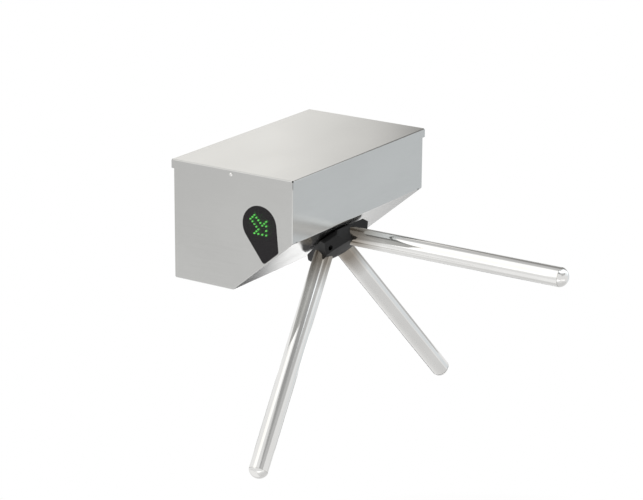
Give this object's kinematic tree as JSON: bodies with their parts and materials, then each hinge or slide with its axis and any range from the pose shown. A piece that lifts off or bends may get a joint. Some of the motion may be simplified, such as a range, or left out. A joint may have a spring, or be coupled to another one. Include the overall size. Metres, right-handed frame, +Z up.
{
  "type": "tripod turnstile",
  "caption": "Wall-hung tripod turnstile: folded steel casing with a slanted hub, level and hanging polished arms, direction lights, lock and centring drive inside.",
  "frame": {"origin": "centre of the four wall anchors, on the wall plane", "axes": "+X out from the wall into the passage, along the level arm; +Y along the passage; +Z up"},
  "size_m": [0.7422, 0.714, 0.5654],
  "materials": {
    "satin_stainless": "brushed stainless sheet",
    "polished_stainless": "polished stainless tube",
    "black_coat": "matte black powder coat",
    "smoked_acrylic": "glossy smoked acrylic",
    "green_lamp": "lit green lamp",
    "circuit_board": "green solder mask",
    "zinc_steel": "zinc-plated steel",
    "bearing_steel": "ground bearing steel",
    "grey_cast": "machined aluminium",
    "rubber": "matte black rubber",
    "coil_tape": "varnished winding tape",
    "black_moulding": "moulded black plastic",
    "terminal_green": "moulded green plastic"
  },
  "bodies": {
    "housing": {"casing": "satin_stainless", "lid": "satin_stainless", "lid_screws": "polished_stainless", "left_lens": "smoked_acrylic", "right_lens": "smoked_acrylic", "left_lamps": "green_lamp", "right_lamps": "green_lamp", "light_boards": "circuit_board", "control_board": "circuit_board", "wall_plate": "zinc_steel", "mechanism_frame": "zinc_steel", "frame_bolts": "zinc_steel", "housing_bolts": "zinc_steel", "lid_rivet_nuts": "zinc_steel", "board_screws": "zinc_steel", "solenoid_frames": "zinc_steel", "sensor_bracket": "zinc_steel", "power_supply": "zinc_steel", "board_standoffs": "zinc_steel", "front_bearing_outer_ring": "bearing_steel", "rear_bearing_outer_ring": "bearing_steel", "pawl_pins": "bearing_steel", "crank_axle": "bearing_steel", "retaining_clips": "bearing_steel", "spring_anchor": "bearing_steel", "centring_spring": "bearing_steel", "bearing_housing": "grey_cast", "damper_body": "grey_cast", "lid_gasket": "rubber", "cable_grommet": "rubber", "rotor_seal": "rubber", "solenoid_coils": "coil_tape", "position_sensor": "black_moulding", "relays": "black_moulding", "terminal_blocks": "terminal_green"},
    "rotor": {"rotor_shaft": "bearing_steel", "hub": "black_coat", "hub_bolt": "zinc_steel", "hub_cap": "black_coat", "arm_set_screws": "black_coat", "front_bearing_inner_ring": "bearing_steel", "rear_bearing_inner_ring": "bearing_steel", "bearing_spacer": "bearing_steel", "lock_disc": "bearing_steel", "drive_gear": "bearing_steel", "shaft_key": "bearing_steel", "encoder_disc": "bearing_steel", "shaft_nut": "zinc_steel", "arm_1": "polished_stainless", "arm_2": "polished_stainless", "arm_3": "polished_stainless", "arm_cap_1": "polished_stainless", "arm_cap_2": "polished_stainless", "arm_cap_3": "polished_stainless"},
    "crank": {"centring_crank": "bearing_steel"},
    "damper": {"damper_pinion": "bearing_steel"},
    "left_pawl": {"left_pawl": "bearing_steel"},
    "right_pawl": {"right_pawl": "bearing_steel"},
    "left_plunger": {"left_plunger": "bearing_steel"},
    "right_plunger": {"right_plunger": "bearing_steel"}
  },
  "joints": [
    {"name": "rotor_spin", "type": "hinge", "parent": "housing", "child": "rotor", "pos_m": [0.21417, 0, -0.05017], "axis": [0.6428, 0, -0.766], "continuous": true},
    {"name": "crank_spin", "type": "hinge", "parent": "housing", "child": "crank", "pos_m": [0.19853, -0.05091, 0.04767], "axis": [0.6428, 0, -0.766], "continuous": true, "deforming": ["centring_spring"]},
    {"name": "damper_spin", "type": "hinge", "parent": "housing", "child": "damper", "pos_m": [0.19853, 0.05091, 0.04767], "axis": [0.6428, 0, -0.766], "continuous": true},
    {"name": "right_pawl_swing", "type": "hinge", "parent": "housing", "child": "right_pawl", "pos_m": [0.14006, 0.058, -0.02097], "axis": [0.6428, 0, -0.766], "range_deg": [0, 12], "stiffness_Nm_per_rad": 0.4},
    {"name": "left_pawl_swing", "type": "hinge", "parent": "housing", "child": "left_pawl", "pos_m": [0.14006, -0.058, -0.02097], "axis": [-0.6428, 0, 0.766], "range_deg": [0, 12], "stiffness_Nm_per_rad": 0.4},
    {"name": "right_plunger_pull", "type": "slide", "parent": "housing", "child": "right_plunger", "axis": [0, 1, 0], "range_m": [0, 0.00624]},
    {"name": "left_plunger_pull", "type": "slide", "parent": "housing", "child": "left_plunger", "axis": [0, -1, 0], "range_m": [0, 0.00624]}
  ],
  "couplings": [
    {"joint": "crank_spin", "follows": "rotor_spin", "ratio": -3},
    {"joint": "damper_spin", "follows": "rotor_spin", "ratio": -3},
    {"joint": "right_plunger_pull", "follows": "right_pawl_swing", "m_per_rad": 0.029781},
    {"joint": "left_plunger_pull", "follows": "left_pawl_swing", "m_per_rad": 0.029781}
  ]
}
